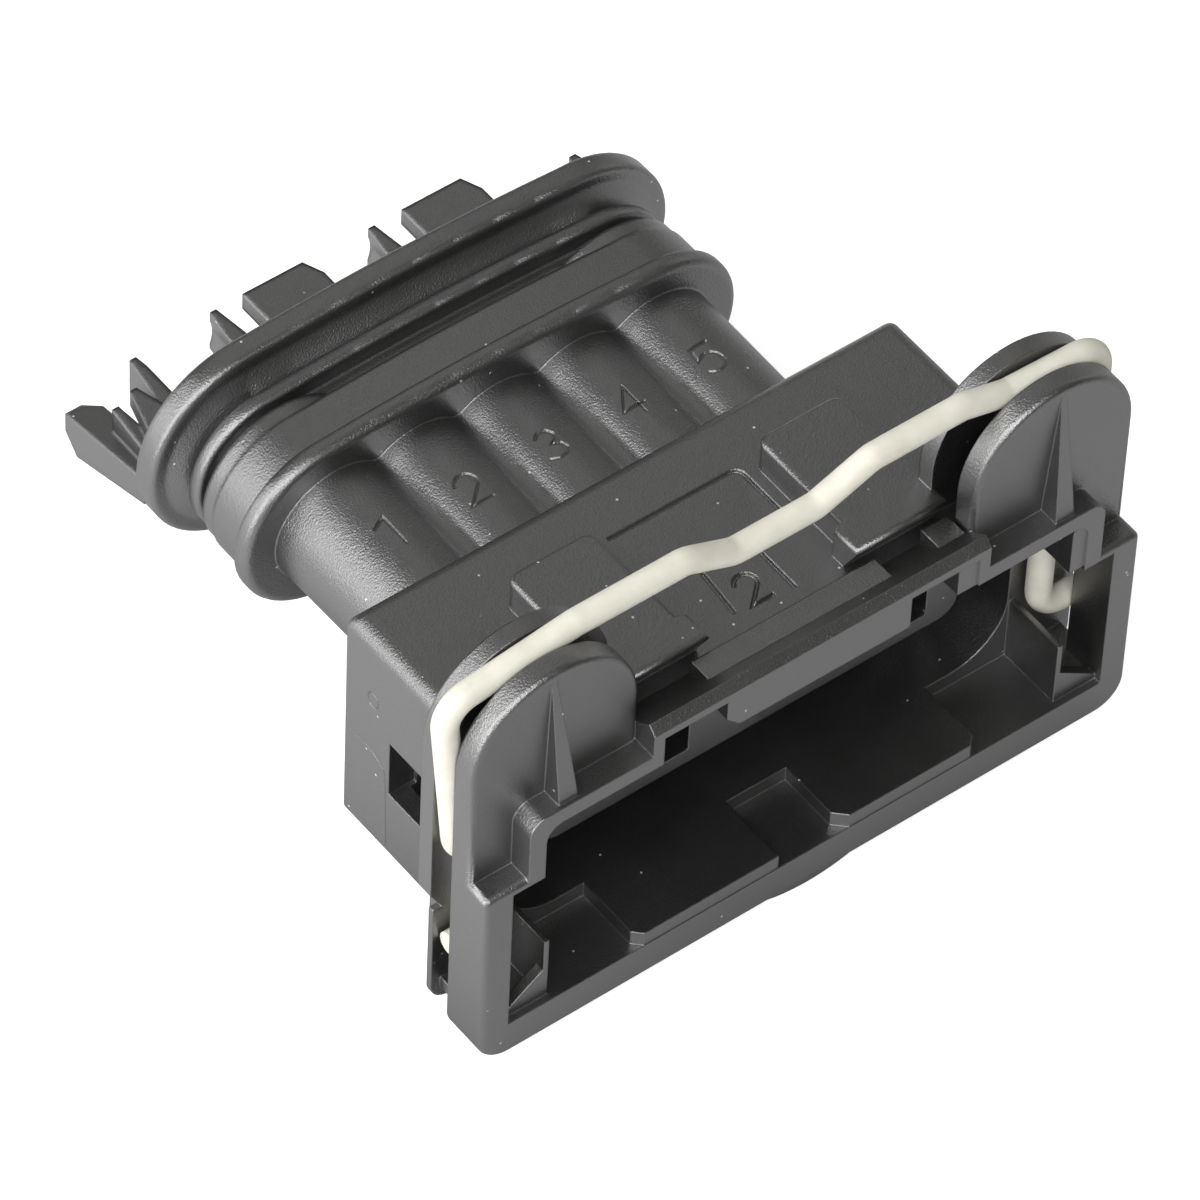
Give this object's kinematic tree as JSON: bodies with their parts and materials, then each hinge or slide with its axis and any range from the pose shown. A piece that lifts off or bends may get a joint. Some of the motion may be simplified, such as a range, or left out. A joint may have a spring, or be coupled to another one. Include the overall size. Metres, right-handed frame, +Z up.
{
  "type": "sealed automotive wire connector housing",
  "caption": "Sealed wire-to-header connector housing with a keyed rectangular hood, a bent wire locking spring and an oval grooved collar at the wire end.",
  "frame": {"origin": "middle of the hood's bottom edge, in the mating face", "axes": "+X along the row of cavities, +Y from the mating face towards the wire end, +Z up towards the locking spring's crown"},
  "size_m": [0.0416, 0.0412, 0.0262],
  "materials": {
    "moulded_black": "satin, finely textured glass-filled polyamide",
    "spring_wire": "pale matt coated spring wire",
    "seal": "matt silicone rubber"
  },
  "bodies": {
    "housing": {"housing": "moulded_black", "interface_gasket": "seal"},
    "spring": {"wire_spring": "spring_wire"}
  },
  "joints": [
    {"name": "spring_press", "type": "slide", "parent": "housing", "child": "spring", "axis": [0, 0, -1], "range_m": [0, 0.0015], "stiffness_N_per_m": 1500, "springref_m": -0.0005}
  ]
}
